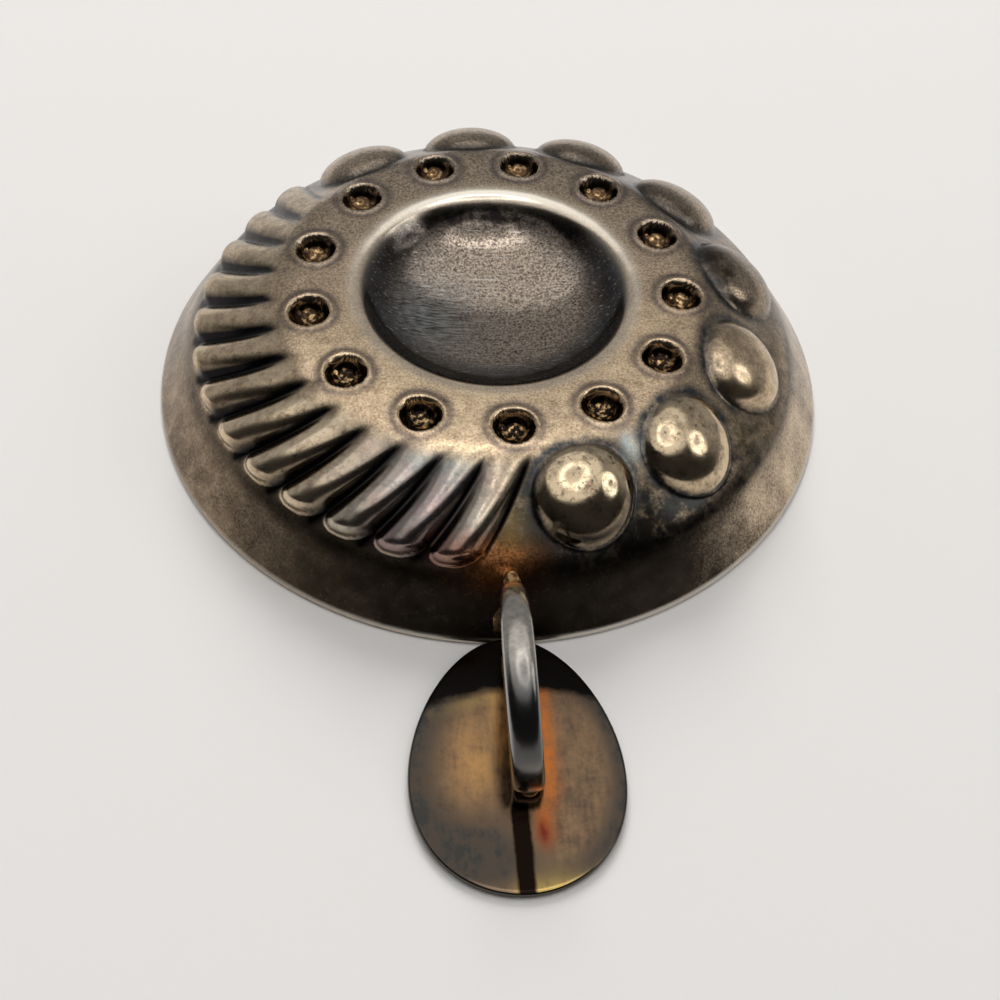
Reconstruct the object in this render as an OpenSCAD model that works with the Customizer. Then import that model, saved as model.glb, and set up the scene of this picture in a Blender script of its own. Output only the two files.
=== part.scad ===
// Wine taster's cup, lying upside down on its rim, with the back of the bowl up.
// Millimetres. The origin is the centre of the rim circle, +Z points out of the bowl's back,
// and the handle lies along -Y.

/* [Bowl] */
// Diameter over the rim
rim_d = 85; // [82:0.5:92]
// Height from the rim plane to the flat foot ring
bowl_h = 17.6; // [16.6:0.2:20]
// Thickness of the raised sheet
sheet_t = 0.9; // [0.7:0.05:1.2]
// Outer diameter of the flat foot ring
foot_d = 53; // [52.5:0.5:56]
// Diameter of the corner between the wall and the shoulder
shoulder_d = 75.8; // [74:0.2:78]
// Height of that corner above the rim plane
shoulder_h = 8.3; // [7.4:0.1:9.2]
// Diameter of the dished centre
dish_d = 33.6; // [28:0.2:36]
// Depth of the dished centre
dish_depth = 5.5; // [3:0.1:7]

/* [Pits] */
// Diameter of a pit at its mouth
pit_d = 5.2; // [3.6:0.1:5.6]
// Depth of a pit
pit_depth = 2.2; // [1:0.1:2.5]
// Diameter of the circle that the pits lie on
pit_circle_d = 46.8; // [45:0.2:47]
// Angle of the first pit from the handle
pit_first = 2.2; // [0:0.1:6]

/* [Bosses] */
// Number of equal divisions round the bowl, one pit in each
divisions = 13; // [11:1:13]
// Number of bosses, one between each two pits
boss_n = 8; // [4:1:8]
// Diameter of a boss
boss_d = 12.5; // [10:0.1:13]
// Half thickness of a boss, from its middle to its crown
boss_rise = 3; // [2.2:0.1:3.4]
// Depth of a boss's middle under the shoulder's surface
boss_sink = 0.5; // [0.2:0.1:0.8]
// Distance of a boss's middle down the shoulder from the foot ring
boss_down = 7.1; // [6.6:0.1:7.6]

/* [Flutes] */
// Number of flutes in the divisions that have no boss
flute_n = 13; // [8:1:13]
// Width of a flute
flute_w = 5.6; // [4.4:0.1:6]
// Depth of a flute's axis under the shoulder's surface at its round tip
flute_sink = 0.4; // [0.2:0.1:0.8]
// Distance of the tip's middle up the shoulder from the wall corner
flute_tip_up = 3; // [2.6:0.1:4]
// How far a flute bows outwards along its length
flute_bow = 0.8; // [0.5:0.1:1.2]
// Lean of a flute from the straight line to the bowl's middle, in degrees
flute_lean = 27; // [15:6:27]
// Angle by which the flutes' tips lie behind the divisions of the pits, in degrees
flute_shift = 5.4; // [4:0.1:7]
// Bare angle at the ends of the fluted stretch, in degrees
flute_margin = 3; // [2:0.5:6]
// Drop of a flute's inner end under the foot ring
flute_drop = 0.1; // [0.05:0.05:0.4]

/* [Finger loop] */
// Reach of the loop from the bowl's middle
loop_reach = 65.2; // [62:0.2:68]
// Height of the loop above the rim plane
loop_top = 17; // [15.5:0.1:17.2]
// Greatest width of the strip
strip_w = 3.6; // [3:0.1:4.6]
// Thickness of the strip
strip_t = 1.8; // [1.4:0.1:2.2]
// Width of the strip where it ends on the wall
strip_end_w = 1.9; // [1.5:0.1:2.8]
// Distance from the wall corner over which the strip widens
strip_taper = 13; // [9:0.5:18]
// Height at which the loop's upper leg meets the wall
joint_h = 7.7; // [6.8:0.1:8.1]
// Greatest radius of the loop's bend, as a share of the loop's length
bend_share = 0.48; // [0.4:0.01:0.49]
// Inner radius of the loop's heel on the plate
heel_in_r = 0.8; // [0.5:0.1:1.5]
// Inner radius of the loop's corner at the rim
corner_in_r = 0.5; // [0.3:0.1:1]
// How far the strip is filed in where it beds on the wall and the plate
bed = 0.35; // [0.25:0.05:0.5]
// Lean of the loop to one side, in degrees
loop_lean = -5; // [-6:0.5:6]

/* [Thumb plate] */
// Greatest width of the plate
plate_w = 24.2; // [20:0.2:28]
// Reach of the plate's far end from the bowl's middle
plate_reach = 76.3; // [72:0.1:84]
// Thickness of the plate
plate_t = 0.9; // [0.7:0.05:1.2]
// Radius of the plate's dome
plate_dome_r = 160; // [120:5:300]
// Height of the plate's lowest edge above the rim plane
plate_lift = 0.15; // [0:0.05:0.3]
// Fullness of the plate's far half against its near half
plate_egg = 0.17; // [0.05:0.01:0.3]
// Overlap of the plate's narrow end with the rim, filed away to fit
plate_lap = 0.4; // [0.2:0.1:0.8]
// Turn of the plate round the bowl's middle, in degrees
plate_turn = -0.6; // [-2:0.1:2]

/* [Solder] */
// Width of the solder that shows on each side of the strip
solder_w = 0.8; // [0.4:0.1:1.2]
// Height of the solder on the wall and the plate
solder_h = 0.7; // [0.4:0.05:0.9]
// How far the solder runs up the strip from its end on the wall
fillet_run = 1.6; // [1:0.1:2.4]
// Thickness of the solder over the strip's end
fillet_t = 0.35; // [0.2:0.05:0.5]

/* [Hidden] */
// Facets of round forms, finer where thin pieces are fitted to them, and steps of the loop's bends
$fn = 64;
fine_fn = 256;
corner_steps = 8;
bend_steps = 36;
// Overlap of cutting bodies
eps = 1;

// Radii
rim_r = rim_d / 2;
foot_r = foot_d / 2;
shoulder_r = shoulder_d / 2;
heel_r = heel_in_r + strip_t;
corner_r = corner_in_r + strip_t;

// Slopes of the shoulder and the wall from the rim plane
shoulder_slope = atan2(bowl_h - shoulder_h, shoulder_r - foot_r);
wall_slope = atan2(shoulder_h, rim_r - shoulder_r);

// Outward normals of both in a section through the bowl's middle, and their offsets from it
shoulder_normal = [sin(shoulder_slope), cos(shoulder_slope)];
wall_normal = [sin(wall_slope), cos(wall_slope)];
shoulder_offset = shoulder_normal * [foot_r, bowl_h];
wall_offset = wall_normal * [rim_r, 0];

// Point where two lines meet, each given by its normal and its offset from the origin
function meeting(n1, d1, n2, d2) =
    let (det = n1[0] * n2[1] - n1[1] * n2[0])
    [(d1 * n2[1] - d2 * n1[1]) / det, (n1[0] * d2 - n2[0] * d1) / det];

// Point on the wall's line at a height, moved outwards by an amount
function wall_point(z, out) = meeting(wall_normal, wall_offset + out, [0, 1], z);

// Radius of a sphere that makes a hollow of a given mouth radius and depth
function hollow_r(mouth_r, depth) = (mouth_r * mouth_r + depth * depth) / (2 * depth);
dish_r = hollow_r(dish_d / 2, dish_depth);
pit_r = hollow_r(pit_d / 2, pit_depth);

// Angles of the bosses and the flutes from the handle
division = 360 / divisions;
boss_first = pit_first + division / 2;
flute_pitch = ((divisions - boss_n) * division - flute_margin) / flute_n;
flute_first = pit_first - flute_shift - (flute_margin + flute_pitch) / 2;

// Middle of a boss in the section
boss_middle = [foot_r, bowl_h] + boss_down * [cos(shoulder_slope), -sin(shoulder_slope)]
    - boss_sink * shoulder_normal;

// Ends of a flute's axis in the flute's own section, and the arc between them. Its length from above
// grows with its lean, so that its inner end stays at the foot ring's edge.
flute_r = flute_w / 2;
flute_tip = [shoulder_r, shoulder_h] - flute_tip_up * [cos(shoulder_slope), -sin(shoulder_slope)]
    - flute_sink * shoulder_normal;
flute_side = flute_tip[0] * sin(flute_lean);
flute_plan = flute_tip[0] * cos(flute_lean) - sqrt(foot_r * foot_r - flute_side * flute_side);
flute_root = [flute_tip[0] - flute_plan, bowl_h - flute_r - flute_drop];
flute_run = flute_tip - flute_root;
flute_chord = norm(flute_run);
flute_axis_r = (flute_chord * flute_chord / 4 + flute_bow * flute_bow) / (2 * flute_bow);
flute_half_angle = asin(flute_chord / 2 / flute_axis_r);
flute_dip = atan2(-flute_run[1], flute_run[0]);

// Dome of the plate and its highest point
plate_near = rim_r - plate_lap;
plate_mid = (plate_near + plate_reach) / 2;
plate_half = (plate_reach - plate_near) / 2;
plate_fall = plate_dome_r - sqrt(plate_dome_r * plate_dome_r - plate_half * plate_half);
plate_crown = plate_lift + plate_t + plate_fall;

// Joint of the loop's upper leg on the wall, in the loop's own plane
joint = wall_point(joint_h, 0);

// The loop's bends, with the large one as round as the loop's height and length allow
loop_floor = plate_crown - bed;
bend_r = min(loop_top - loop_floor - heel_r, bend_share * (loop_reach - joint[0]));
bend_mid = [loop_reach - bend_r, loop_top - bend_r];
heel_mid = [loop_reach - heel_r, loop_floor + heel_r];
corner_mid = wall_point(loop_floor + corner_r, corner_r - bed);

// Upper leg of the loop, from its joint up to the bend
joint_gap = bend_mid - joint;
upper_slope = atan2(joint_gap[1], joint_gap[0]) + asin(bend_r / norm(joint_gap));
upper_normal = [-sin(upper_slope), cos(upper_slope)];

// Turns a child from the handle's direction by an angle, positive towards +X
module at_angle(angle) rotate([0, 0, angle - 90]) children();

// Puts a child drawn in the loop's plane, with reach along X and height along Y, in its place
module in_loop_plane() {
    translate([0, 0, joint_h])
        rotate([0, loop_lean, 0])
            translate([0, 0, -joint_h])
                rotate([90, 0, -90])
                    children();
}

// Section of the bowl's plain body, set in from the outside by an amount and carried down past the rim
function body_section(inset, below) = [
    [0, -below],
    wall_point(-below, -inset),
    meeting(wall_normal, wall_offset - inset, shoulder_normal, shoulder_offset - inset),
    meeting(shoulder_normal, shoulder_offset - inset, [0, 1], bowl_h - inset),
    [0, bowl_h - inset],
];

module boss(inset) {
    translate([boss_middle[0], 0, boss_middle[1]])
        rotate([0, shoulder_slope, 0])
            scale([boss_d / 2 - inset, boss_d / 2 - inset, boss_rise - inset])
                sphere(1);
}

module flute(inset) {
    translate([flute_tip[0], 0, flute_tip[1]]) {
        sphere(flute_r - inset);
        rotate([0, 0, -flute_lean])
            rotate([90, 0, 0])
                rotate([0, 0, 90 - flute_dip - flute_half_angle])
                    translate([-flute_axis_r, 0, 0])
                        rotate_extrude(angle = 2 * flute_half_angle)
                            translate([flute_axis_r, 0])
                                circle(flute_r - inset);
    }
}

module pit(inset) {
    translate([pit_circle_d / 2, 0, bowl_h - pit_depth + pit_r])
        sphere(pit_r + inset);
}

// The bowl's filled form, set in by an amount: 0 for its outside and the sheet for its inside
module filled_bowl(inset, below) {
    difference() {
        union() {
            rotate_extrude() polygon(body_section(inset, below));
            for (k = [0 : boss_n - 1])
                at_angle(boss_first + k * division) boss(inset);
            for (k = [0 : flute_n - 1])
                at_angle(flute_first - k * flute_pitch) flute(inset);
        }
        translate([0, 0, bowl_h - dish_depth + dish_r])
            sphere(dish_r + inset, $fn = fine_fn);
        for (k = [0 : divisions - 1])
            at_angle(pit_first + k * division) pit(inset);
    }
}

module bowl() {
    color("#8a7f6e")
        difference() {
            filled_bowl(0, 0);
            filled_bowl(sheet_t, eps);
        }
}

// The bowl's plain outside, which the handle's pieces are fitted to
module plain_bowl() {
    rotate_extrude($fn = fine_fn) polygon(body_section(0, eps));
}

// Points along an arc from one angle to another, in a number of equal steps
function arc(mid, r, from, to, steps) = [
    for (i = [0 : steps])
        let (angle = from + (to - from) * i / steps)
        mid + r * [cos(angle), sin(angle)]
];

// The loop's filled side view, set in by an amount: 0 for its outside and the strip for its inside
module loop_outline(inset) {
    polygon(concat(
        [meeting(upper_normal, upper_normal * joint - inset, wall_normal, wall_offset - bed + inset)],
        arc(corner_mid, corner_r - inset, -90 - wall_slope, -90, corner_steps),
        arc(heel_mid, heel_r - inset, -90, 0, corner_steps),
        arc(bend_mid, bend_r - inset, 0, 90 + upper_slope, bend_steps)
    ));
}

// Outline of the strip from above, widening from its ends on the wall
module strip_outline() {
    polygon([
        [shoulder_r - strip_t - eps, -strip_end_w / 2],
        [shoulder_r + strip_taper, -strip_w / 2],
        [loop_reach + eps, -strip_w / 2],
        [loop_reach + eps, strip_w / 2],
        [shoulder_r + strip_taper, strip_w / 2],
        [shoulder_r - strip_t - eps, strip_end_w / 2],
    ]);
}

// Raises a child, drawn from above in the loop's plane, from one height to another
module raised(from, to) {
    translate([0, from, 0])
        rotate([-90, 0, 0])
            linear_extrude(to - from)
                children();
}

module loop_strip() {
    in_loop_plane()
        intersection() {
            translate([0, 0, -strip_w / 2 - eps])
                linear_extrude(strip_w + 2 * eps)
                    difference() {
                        loop_outline(0);
                        loop_outline(strip_t);
                    }
            raised(-eps, loop_top + eps) strip_outline();
        }
}

module ring_handle() {
    color("#a3a19c")
        difference() {
            loop_strip();
            plain_bowl();
            plate_dome(0);
        }
}

// Point of the plate's egg outline at an angle round it
function egg_point(a) = [plate_w / 2 * sin(a) * (1 - plate_egg * cos(a)), -plate_mid + plate_half * cos(a)];

// The plate's outline, raised through all its height
module plate_column() {
    rotate([0, 0, plate_turn])
        linear_extrude(2 * plate_crown)
            polygon([for (a = [0 : 5 : 355]) egg_point(a)]);
}

// The ball that the plate's upper face lies on, grown by an amount
module plate_dome(extra) {
    rotate([0, 0, plate_turn])
        translate([0, -plate_mid, plate_crown - plate_dome_r])
            sphere(plate_dome_r + extra, $fn = fine_fn);
}

module thumb_plate() {
    color("#84684a")
        difference() {
            intersection() {
                plate_column();
                plate_dome(0);
            }
            plate_dome(-plate_t);
            plain_bowl();
        }
}

// Side view of the solder on the wall, from the loop's corner up over the strip's end
module wall_fillet() {
    polygon([
        wall_point(corner_mid[1], -bed),
        wall_point(corner_mid[1], solder_h),
        wall_point(joint_h - strip_t, solder_h),
        joint + fillet_run * [cos(upper_slope), sin(upper_slope)] + fillet_t * upper_normal,
        wall_point(joint_h + fillet_t, -bed),
    ]);
}

module wall_solder() {
    color("#c9a98c")
        difference() {
            in_loop_plane()
                linear_extrude(strip_end_w + 2 * solder_w, center = true)
                    wall_fillet();
            plain_bowl();
            loop_strip();
        }
}

// Outline of the solder along the loop's foot
module foot_outline() {
    translate([heel_mid[0], 0]) circle(strip_w / 2 + solder_w);
    translate([corner_mid[0], -strip_w / 2 - solder_w])
        square([heel_mid[0] - corner_mid[0], strip_w + 2 * solder_w]);
}

module plate_solder() {
    color("#b98d5a")
        difference() {
            intersection() {
                in_loop_plane() raised(-eps, loop_top) foot_outline();
                plate_dome(solder_h);
            }
            plate_dome(0);
            loop_strip();
        }
}

bowl();
ring_handle();
thumb_plate();
wall_solder();
plate_solder();
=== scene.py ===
# %% [markdown]
# # A wine taster's cup, resting on its rim
# The cup is raised from one thin sheet of silvered brass, and it lies upside down, so its back is on
# show. A finger loop and a thumb plate are soldered to its wall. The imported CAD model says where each
# piece is and how large. This script gives every piece its worked surface and its tarnish.

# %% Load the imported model
import bpy
import numpy as np
from mathutils import Matrix


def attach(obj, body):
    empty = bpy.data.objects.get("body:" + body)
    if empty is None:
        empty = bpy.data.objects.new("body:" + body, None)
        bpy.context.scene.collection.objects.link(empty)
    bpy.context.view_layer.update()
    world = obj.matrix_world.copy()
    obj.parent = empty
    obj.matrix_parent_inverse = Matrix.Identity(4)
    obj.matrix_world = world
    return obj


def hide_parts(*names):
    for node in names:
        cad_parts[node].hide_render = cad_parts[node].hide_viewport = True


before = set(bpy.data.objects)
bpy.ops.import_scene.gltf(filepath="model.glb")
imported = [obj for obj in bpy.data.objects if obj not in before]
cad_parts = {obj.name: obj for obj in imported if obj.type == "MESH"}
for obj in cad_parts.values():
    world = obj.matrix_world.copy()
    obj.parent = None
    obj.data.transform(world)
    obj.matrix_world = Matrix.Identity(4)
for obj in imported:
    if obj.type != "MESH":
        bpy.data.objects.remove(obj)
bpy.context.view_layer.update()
print("nodes:", sorted(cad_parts))

# %% [markdown]
# ## Grids of points
# Every piece here is a sheet or a strip, so each one is a grid: rows follow the piece's section or
# length, and columns go round it. Working out whole arrays at once keeps the shape in a formula that
# can be read, where a sculpted mesh would only be a list of points. Sizes are in millimetres, as a
# silversmith would give them, and become metres when the mesh is made.

# %% Turn a grid of points into a piece
MM = 0.001


def smooth(low, high, x):
    """0 below low, 1 above high, and the cubic 3t^2 - 2t^3 between them."""
    t = np.clip((x - low) / (high - low), 0, 1)
    return t * t * (3 - 2 * t)


def bell(x, middle, width):
    """1 in the middle, falling off as exp(-((x - middle) / width)^2)."""
    return np.exp(-((x - middle) / width) ** 2)


def dome(x):
    """Half a circle: sqrt(1 - x^2) out to 1, and 0 beyond."""
    return np.sqrt(np.clip(1 - x**2, 0, 1))


def round_max(a, b, size):
    """The larger of a and b, with the corner between them rounded over about size."""
    return (a + b + np.hypot(a - b, size)) / 2


def make_piece(name, points, marks, replaced):
    """Closes a grid of points (rows, columns, 3) in mm into a mesh that stands for a CAD node.

    Columns wrap round. The first and last rows shrink to single points, so the skin has no hole.
    marks are grids of numbers from 0 to 1 that the materials read as attributes.
    """
    rows, columns = points.shape[:2]
    inner = points[1:-1].reshape(-1, 3)
    verts = np.vstack([inner, points[0].mean(0), points[-1].mean(0)])
    index = np.arange((rows - 2) * columns).reshape(rows - 2, columns)
    beside = np.roll(index, -1, axis=1)
    quads = np.stack([index[:-1], index[1:], beside[1:], beside[:-1]], axis=-1).reshape(-1, 4)
    start, end = len(inner), len(inner) + 1
    first = np.stack([np.full(columns, start), index[0], beside[0]], axis=-1)
    last = np.stack([np.full(columns, end), beside[-1], index[-1]], axis=-1)
    mesh = bpy.data.meshes.new(name)
    mesh.from_pydata((verts * MM).tolist(), [], quads.tolist() + first.tolist() + last.tolist())
    mesh.polygons.foreach_set("use_smooth", np.ones(len(mesh.polygons), bool))
    for key, grid in marks.items():
        values = np.concatenate([grid[1:-1].ravel(), [grid[0].mean(), grid[-1].mean()]])
        attribute = mesh.attributes.new(key, "FLOAT", "POINT")
        attribute.data.foreach_set("value", values.astype(np.float32))
    piece = bpy.data.objects.new(name, mesh)
    bpy.context.scene.collection.objects.link(piece)
    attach(piece, "root")
    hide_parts(replaced)
    print(f"{name}: {len(verts)} points, {2 * len(quads) + 2 * columns} triangles")
    return piece


# %% [markdown]
# ## The bowl's section
# Cut through its middle, the bowl is a dished centre with a rolled lip, a flat foot ring, a shoulder
# and a plain wall down to the rim. The section is drawn with straight lines and one curve, and then
# every corner is softened, because a hammered sheet has no sharp fold.

# %% Draw the section and soften its corners
SHEET = 0.9
RIM_R, FOOT_R, SHOULDER_R, DISH_R = 42.5, 26.5, 37.9, 16.8
FOOT_Z, SHOULDER_Z, DISH_DEPTH = 17.6, 8.3, 5.5
DISH_BALL = 48.0
RIM_EDGE, RIM_LIFT, RIM_IN = 0.45, 0.67, 0.1
RING_FALL = 0.3
STEP, LIP_SOFT, SHOULDER_SOFT = 0.05, 0.75, 1.2
SOFTER_FROM, SOFTER_TO = 19, 23


def dish_height(r):
    """The dish: part of a ball, with a wall that steepens as r^8 towards its lip."""
    sag = DISH_BALL - np.sqrt(DISH_BALL**2 - r**2)
    lip_sag = DISH_BALL - np.sqrt(DISH_BALL**2 - DISH_R**2)
    return FOOT_Z - DISH_DEPTH + sag + (DISH_DEPTH - lip_sag) * (r / DISH_R) ** 8


def walk(corners, step):
    """Points every step along straight lines between corners."""
    along = np.concatenate([[0], np.cumsum(np.hypot(*np.diff(corners, axis=0).T))])
    at = np.arange(0, along[-1], step)
    return np.stack([np.interp(at, along, corners[:, k]) for k in (0, 1)], axis=-1)


def soften(line, step, size):
    """A line whose points are averaged with their neighbours under a bell curve of that size."""
    reach = int(4 * size / step)
    weight = np.exp(-0.5 * (np.arange(-reach, reach + 1) * step / size) ** 2)
    weight /= weight.sum()
    before = 2 * line[0] - line[reach:0:-1]
    after = 2 * line[-1] - line[-2:-reach - 2:-1]
    longer = np.vstack([before, line, after])
    return np.stack([np.convolve(longer[:, k], weight, "valid") for k in (0, 1)], axis=-1)


dish_r = np.linspace(0, DISH_R, 80)
ring_r = np.linspace(DISH_R, FOOT_R, 30)[1:]
ring_z = FOOT_Z - RING_FALL * ((ring_r - DISH_R) / (FOOT_R - DISH_R)) ** 2
rim_end = (RIM_R - RIM_IN, RIM_LIFT)
corners = np.vstack([
    np.stack([dish_r, dish_height(dish_r)], axis=-1),
    np.stack([ring_r, ring_z], axis=-1),
    [(SHOULDER_R, SHOULDER_Z), rim_end],
])
drawn = walk(corners, STEP)
crisp, soft = soften(drawn, STEP, LIP_SOFT), soften(drawn, STEP, SHOULDER_SOFT)
share = smooth(SOFTER_FROM, SOFTER_TO, drawn[:, 0])[:, None]
section = (1 - share) * crisp + share * soft
section[0, 0] = 0
section_s = np.concatenate([[0], np.cumsum(np.hypot(*np.diff(section, axis=0).T))])
print(f"bowl section: {section_s[-1]:.1f} mm from the dish's middle to the rim")

# %% [markdown]
# ## The bowl's relief
# The worked pattern is chased into the sheet: round bosses on one side, leaning flutes on the other,
# and a ring of small pits on the foot. Each is a height over the plain section, measured square to
# the sheet. A height with a formula blends into the sheet with a soft foot, and it can be evaluated
# a second time, a sheet's thickness smaller, for the inside of the bowl.

# %% Heights of the bosses, the flutes and the pits
PIT_COUNT = 13
DIVISION = 2 * np.pi / PIT_COUNT
PIT_FIRST = np.radians(2.2)
PIT_R, PIT_DEPTH, PIT_SINK, PIT_CIRCLE_R = 2.6, 2.2, 0.3, 23.4
BURR_RISE, BURR_PLACE, BURR_WIDTH = 0.14, 1.08, 0.13
BOSS_R, BOSS_RISE, BOSS_SINK, BOSS_CIRCLE_R, BOSS_COUNT = 6.25, 3.0, 0.5, 32.0, 8
FLUTE_COUNT, FLUTE_RISE, FLUTE_TIP_R, FLUTE_END = 13, 2.1, 36.2, 2.0
FLUTE_SINK, FLUTE_FALL, FLUTE_NARROW = 0.34, 0.45, 1.06
FLUTE_SHIFT, FLUTE_LEAD, FLUTE_MARGIN = np.radians([5.4, 11, 3])
FALL_FROM, FALL_TO = np.radians([45, 130])
BOSS_BELOW, PIT_BELOW, FLUTE_BELOW = 3, 2, 2
BOSS_SOFT, PIT_SOFT, FLUTE_SOFT = 0.2, 0.12, 0.15
LEAN_FROM, LEAN_TO = -0.1, 1.25
FLUTE_PITCH = ((PIT_COUNT - BOSS_COUNT) * DIVISION - FLUTE_MARGIN) / FLUTE_COUNT
FLUTE_FIRST = PIT_FIRST - FLUTE_SHIFT - (FLUTE_MARGIN + FLUTE_PITCH) / 2


def section_at(radius):
    """Length along the section, past the lip, at which it has that radius."""
    past = section_s > DISH_R
    return np.interp(radius, section[past, 0], section_s[past])


def turn_from(angle, middle):
    """Angle from middle, between -pi and pi."""
    return (angle - middle + np.pi) % (2 * np.pi) - np.pi


def nearest(angle, first, count):
    """Angle of the nearest of some equally divided places, counted on from the first."""
    half = (count - 1) / 2
    steps = turn_from(angle, first + DIVISION * half) / DIVISION + half
    return first + DIVISION * np.clip(np.round(steps), 0, count - 1)


def boss_distance(s, r, angle):
    """Distance over the sheet from the middle of the nearest boss."""
    middle = nearest(angle, PIT_FIRST + DIVISION / 2, BOSS_COUNT)
    return np.hypot(s - section_at(BOSS_CIRCLE_R), r * turn_from(angle, middle))


def pit_distance(s, r, angle):
    """Distance over the sheet from the middle of the nearest pit."""
    k = np.round((angle - PIT_FIRST) / DIVISION)
    return np.hypot(s - section_at(PIT_CIRCLE_R), r * turn_from(angle, PIT_FIRST + DIVISION * k))


def outwards(s):
    """How far down the shoulder a point is: 0 at the foot ring and 1 at the middle of a flute's tip."""
    return (s - section_at(FOOT_R)) / (section_at(FLUTE_TIP_R) - section_at(FOOT_R))


def lean(s):
    """Angle by which a flute leads its own tip."""
    return FLUTE_LEAD * (1 - np.clip(outwards(s), LEAN_FROM, LEAN_TO))


def flute_place(s, angle):
    """How far across the nearest flute a point is (-1 to 1 between its valleys), and how far out."""
    out = outwards(s)
    axis = FLUTE_FIRST + lean(s)
    steps = turn_from(axis, angle + FLUTE_PITCH * (FLUTE_COUNT - 1) / 2) / FLUTE_PITCH
    k = np.clip(np.round(steps + (FLUTE_COUNT - 1) / 2), 0, FLUTE_COUNT - 1)
    across = turn_from(angle, axis - FLUTE_PITCH * k) / (FLUTE_PITCH / 2)
    return across, out


def relief(s, r, angle, inset):
    """Height over the section. A boss is half of an ellipsoid, a pit half of a ball, and a flute is
    an ellipse across its width, full at its round tip and fading out towards the foot ring. The
    flutes get lower away from the handle, and each pit has a bell-shaped burr round its mouth.
    Beyond its outline each form goes on falling, so that the rounded maximum leaves the plain sheet."""
    d = boss_distance(s, r, angle) / (BOSS_R - inset)
    boss = (BOSS_RISE - inset) * dome(d) - BOSS_SINK - BOSS_BELOW * np.clip(d - 1, 0, 1)
    p = pit_distance(s, r, angle) / (PIT_R + inset)
    pit = (PIT_DEPTH + PIT_SINK) * dome(p) - PIT_SINK - PIT_BELOW * np.clip(p - 1, 0, 1)
    burr = BURR_RISE * bell(p, BURR_PLACE, BURR_WIDTH)
    across, out = flute_place(s, angle)
    beyond = np.clip(s - section_at(FLUTE_TIP_R), 0, None) / (FLUTE_END - inset)
    u = np.hypot(across * (FLUTE_NARROW + 0.3 * inset), beyond)
    lower = 1 - FLUTE_FALL * smooth(FALL_FROM, FALL_TO, -turn_from(angle, 0))
    full = FLUTE_RISE * lower / (1 - FLUTE_SINK) * smooth(-0.12, 0.9, out)
    flute = full * (dome(u) - FLUTE_SINK) - FLUTE_BELOW * np.clip(u - 1, 0, 1)
    return (round_max(boss, 0, BOSS_SOFT) + round_max(flute, 0, FLUTE_SOFT) * smooth(-0.1, 0.1, out)
            - round_max(pit, 0, PIT_SOFT) + burr)


print(f"flutes {np.degrees(FLUTE_PITCH):.1f} degrees apart, pits {np.degrees(DIVISION):.1f}")

# %% [markdown]
# ## The bowl's two skins
# The sheet has an outside, a rounded edge at the rim and an inside. The outside gets close rows where
# the pattern is, and wide ones on the plain dish and wall. Its columns lean with the flutes, and one
# of them runs down each valley, because a valley that crossed the columns would come out ragged. The
# edge is half an ellipse from one skin to the other, and the inside is the same relief, set in by
# the sheet.

# %% Work out the bowl's skins
PER_FLUTE, PLAIN_COLUMNS = 14, 298
OUT_ROWS, IN_ROWS, EDGE_ROWS = (24, 12, 36, 50, 14), (8, 16, 22, 8), 9
fluted_arc = FLUTE_COUNT * FLUTE_PITCH
first_valley = FLUTE_FIRST - FLUTE_PITCH * (FLUTE_COUNT - 0.5)
column = np.concatenate([
    first_valley + np.linspace(0, fluted_arc, FLUTE_COUNT * PER_FLUTE, endpoint=False),
    first_valley + np.linspace(fluted_arc, 2 * np.pi, PLAIN_COLUMNS, endpoint=False),
])


def rows_between(marks, counts):
    """Places along the section, with a number of equal rows between each two marks."""
    parts = [np.linspace(a, b, n, endpoint=False) for a, b, n in zip(marks[:-1], marks[1:], counts)]
    return np.concatenate(parts + [marks[-1:]])


def skin(s, inset):
    """Points of one skin: the section, carried round, plus the relief square to the sheet."""
    slope = np.gradient(section, section_s, axis=0)
    r0, z0, tr, tz = (np.interp(s, section_s, v)[:, None] for v in (*section.T, *slope.T))
    length = np.hypot(tr, tz)
    angle = column + lean(s)[:, None]
    normal_r, normal_z = -tz / length, tr / length
    h = relief(s[:, None], r0, angle, inset) - inset
    r, z = r0 + normal_r * h, z0 + normal_z * h
    return np.stack([r * np.sin(angle), -r * np.cos(angle), z + 0 * angle], axis=-1)


lip, foot, corner, rim = (section_at(r) for r in (DISH_R + 0.5, FOOT_R, SHOULDER_R, rim_end[0]))
out_s = rows_between(np.array([0, lip - 2.5, lip + 1, foot, corner + 1.5, rim]), OUT_ROWS)
in_s = rows_between(np.array([0, lip, foot, corner, rim]), IN_ROWS)[::-1]
outside, inside = skin(out_s, 0), skin(in_s, SHEET)
bulge = np.linspace(0, np.pi, EDGE_ROWS)[1:-1, None, None]
middle, half = (outside[-1] + inside[0]) / 2, (outside[-1] - inside[0]) / 2
down = outside[-1] - outside[-2]
down *= RIM_EDGE / np.linalg.norm(down, axis=-1, keepdims=True)
edge = middle + np.cos(bulge) * half + np.sin(bulge) * down
bowl_points = np.concatenate([outside, edge, inside])
print("bowl skins:", outside.shape[:2], edge.shape[:2], inside.shape[:2])
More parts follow.
